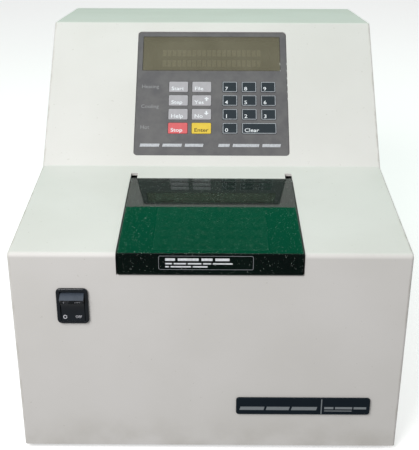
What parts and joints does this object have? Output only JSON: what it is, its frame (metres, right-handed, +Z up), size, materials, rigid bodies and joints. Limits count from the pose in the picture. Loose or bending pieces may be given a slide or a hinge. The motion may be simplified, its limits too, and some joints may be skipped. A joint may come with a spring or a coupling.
{
  "type": "thermal cycler",
  "caption": "Bench thermal cycler: folded sheet-metal case, sloping keypad and display, front rocker switch, and a hinged lid over a block of tube wells.",
  "frame": {"origin": "middle of the object's footprint box, on the surface that the feet stand on", "axes": "+Z up, +Y from the front towards the rear, +X to the right as seen from the front"},
  "size_m": [0.33, 0.4856, 0.3057],
  "materials": {
    "cream_paint": "fine stippled enamel, satin",
    "zinc_steel": "zinc plated, dull",
    "black_paint": "satin black",
    "black_rubber": "matt",
    "navy_plate": "glossy, printed with a silver outline and bars",
    "grey_membrane": "fine textured polyester film",
    "olive_filter": "glossy tinted filter",
    "pale_key": "satin",
    "slate_key": "satin with a paler outline",
    "red_key": "satin",
    "yellow_key": "satin",
    "black_plastic": "moulded, semi-gloss",
    "smoked_acrylic": "polished, dark and see-through",
    "block_aluminium": "machined, satin",
    "copper": "drawn copper, dull",
    "foam": "closed-cell foam, matt",
    "orange_silicone": "matt silicone mat",
    "circuit_board": "solder mask, satin",
    "laminated_iron": "varnished laminations"
  },
  "bodies": {
    "case": {"base_pan": "zinc_steel", "housing_shell": "cream_paint", "rear_panel": "cream_paint", "foot_front_left": "black_rubber", "foot_front_right": "black_rubber", "foot_rear_left": "black_rubber", "foot_rear_right": "black_rubber", "name_plate": "navy_plate", "keypad_overlay": "grey_membrane", "display_window": "olive_filter", "display_module": "black_plastic", "keypad_board": "circuit_board", "switch_frame": "black_plastic", "hinge_pin_left": "zinc_steel", "hinge_pin_right": "zinc_steel", "hinge_bracket_left": "zinc_steel", "hinge_bracket_right": "zinc_steel", "sample_block": "block_aluminium", "recess_tray": "black_paint", "heater_mat": "orange_silicone", "cooling_plate": "block_aluminium", "insulation_box": "foam", "temperature_probe": "zinc_steel", "compressor": "black_paint", "compressor_base": "zinc_steel", "condenser": "block_aluminium", "fan_frame": "black_plastic", "fan_guard": "zinc_steel", "filter_drier": "copper", "suction_line": "copper", "discharge_line": "copper", "liquid_line": "copper", "transformer": "laminated_iron", "main_board": "circuit_board", "power_board": "circuit_board", "mains_inlet": "black_plastic", "serial_port": "zinc_steel"},
    "lid": {"block_lid": "smoked_acrylic"},
    "rocker": {"switch_rocker": "black_plastic"},
    "rotor": {"fan_rotor": "black_plastic"},
    "fuse_drawer": {"fuse_drawer": "black_plastic"},
    "key_start": {"key_start": "pale_key"},
    "key_step": {"key_step": "pale_key"},
    "key_help": {"key_help": "pale_key"},
    "key_stop": {"key_stop": "red_key"},
    "key_file": {"key_file": "pale_key"},
    "key_yes_up": {"key_yes_up": "pale_key"},
    "key_no_down": {"key_no_down": "pale_key"},
    "key_enter": {"key_enter": "yellow_key"},
    "key_7": {"key_7": "slate_key"},
    "key_8": {"key_8": "slate_key"},
    "key_9": {"key_9": "slate_key"},
    "key_4": {"key_4": "slate_key"},
    "key_5": {"key_5": "slate_key"},
    "key_6": {"key_6": "slate_key"},
    "key_1": {"key_1": "slate_key"},
    "key_2": {"key_2": "slate_key"},
    "key_3": {"key_3": "slate_key"},
    "key_0": {"key_0": "slate_key"},
    "key_clear": {"key_clear": "slate_key"}
  },
  "joints": [
    {"name": "lid_hinge", "type": "hinge", "parent": "case", "child": "lid", "pos_m": [0, -0.0756, 0.191], "axis": [-1, 0, 0], "range_deg": [0, 95]},
    {"name": "power_switch", "type": "hinge", "parent": "case", "child": "rocker", "pos_m": [-0.114, -0.2301, 0.149], "axis": [-1, 0, 0], "range_deg": [0, 24]},
    {"name": "fan_spin", "type": "hinge", "parent": "case", "child": "rotor", "pos_m": [0.06625, 0.2139, 0.0783], "axis": [0, 1, 0], "continuous": true},
    {"name": "fuse_slide", "type": "slide", "parent": "case", "child": "fuse_drawer", "axis": [0, 1, 0], "range_m": [0, 0.014]},
    {"name": "key_start_press", "type": "slide", "parent": "case", "child": "key_start", "axis": [0, 0.6361, -0.7716], "range_m": [0, 0.0006], "stiffness_N_per_m": 300, "springref_m": -0.0005},
    {"name": "key_step_press", "type": "slide", "parent": "case", "child": "key_step", "axis": [0, 0.6361, -0.7716], "range_m": [0, 0.0006], "stiffness_N_per_m": 300, "springref_m": -0.0005},
    {"name": "key_help_press", "type": "slide", "parent": "case", "child": "key_help", "axis": [0, 0.6361, -0.7716], "range_m": [0, 0.0006], "stiffness_N_per_m": 300, "springref_m": -0.0005},
    {"name": "key_stop_press", "type": "slide", "parent": "case", "child": "key_stop", "axis": [0, 0.6361, -0.7716], "range_m": [0, 0.0006], "stiffness_N_per_m": 300, "springref_m": -0.0005},
    {"name": "key_file_press", "type": "slide", "parent": "case", "child": "key_file", "axis": [0, 0.6361, -0.7716], "range_m": [0, 0.0006], "stiffness_N_per_m": 300, "springref_m": -0.0005},
    {"name": "key_yes_up_press", "type": "slide", "parent": "case", "child": "key_yes_up", "axis": [0, 0.6361, -0.7716], "range_m": [0, 0.0006], "stiffness_N_per_m": 300, "springref_m": -0.0005},
    {"name": "key_no_down_press", "type": "slide", "parent": "case", "child": "key_no_down", "axis": [0, 0.6361, -0.7716], "range_m": [0, 0.0006], "stiffness_N_per_m": 300, "springref_m": -0.0005},
    {"name": "key_enter_press", "type": "slide", "parent": "case", "child": "key_enter", "axis": [0, 0.6361, -0.7716], "range_m": [0, 0.0006], "stiffness_N_per_m": 300, "springref_m": -0.0005},
    {"name": "key_7_press", "type": "slide", "parent": "case", "child": "key_7", "axis": [0, 0.6361, -0.7716], "range_m": [0, 0.0006], "stiffness_N_per_m": 300, "springref_m": -0.0005},
    {"name": "key_8_press", "type": "slide", "parent": "case", "child": "key_8", "axis": [0, 0.6361, -0.7716], "range_m": [0, 0.0006], "stiffness_N_per_m": 300, "springref_m": -0.0005},
    {"name": "key_9_press", "type": "slide", "parent": "case", "child": "key_9", "axis": [0, 0.6361, -0.7716], "range_m": [0, 0.0006], "stiffness_N_per_m": 300, "springref_m": -0.0005},
    {"name": "key_4_press", "type": "slide", "parent": "case", "child": "key_4", "axis": [0, 0.6361, -0.7716], "range_m": [0, 0.0006], "stiffness_N_per_m": 300, "springref_m": -0.0005},
    {"name": "key_5_press", "type": "slide", "parent": "case", "child": "key_5", "axis": [0, 0.6361, -0.7716], "range_m": [0, 0.0006], "stiffness_N_per_m": 300, "springref_m": -0.0005},
    {"name": "key_6_press", "type": "slide", "parent": "case", "child": "key_6", "axis": [0, 0.6361, -0.7716], "range_m": [0, 0.0006], "stiffness_N_per_m": 300, "springref_m": -0.0005},
    {"name": "key_1_press", "type": "slide", "parent": "case", "child": "key_1", "axis": [0, 0.6361, -0.7716], "range_m": [0, 0.0006], "stiffness_N_per_m": 300, "springref_m": -0.0005},
    {"name": "key_2_press", "type": "slide", "parent": "case", "child": "key_2", "axis": [0, 0.6361, -0.7716], "range_m": [0, 0.0006], "stiffness_N_per_m": 300, "springref_m": -0.0005},
    {"name": "key_3_press", "type": "slide", "parent": "case", "child": "key_3", "axis": [0, 0.6361, -0.7716], "range_m": [0, 0.0006], "stiffness_N_per_m": 300, "springref_m": -0.0005},
    {"name": "key_0_press", "type": "slide", "parent": "case", "child": "key_0", "axis": [0, 0.6361, -0.7716], "range_m": [0, 0.0006], "stiffness_N_per_m": 300, "springref_m": -0.0005},
    {"name": "key_clear_press", "type": "slide", "parent": "case", "child": "key_clear", "axis": [0, 0.6361, -0.7716], "range_m": [0, 0.0006], "stiffness_N_per_m": 300, "springref_m": -0.0005}
  ]
}
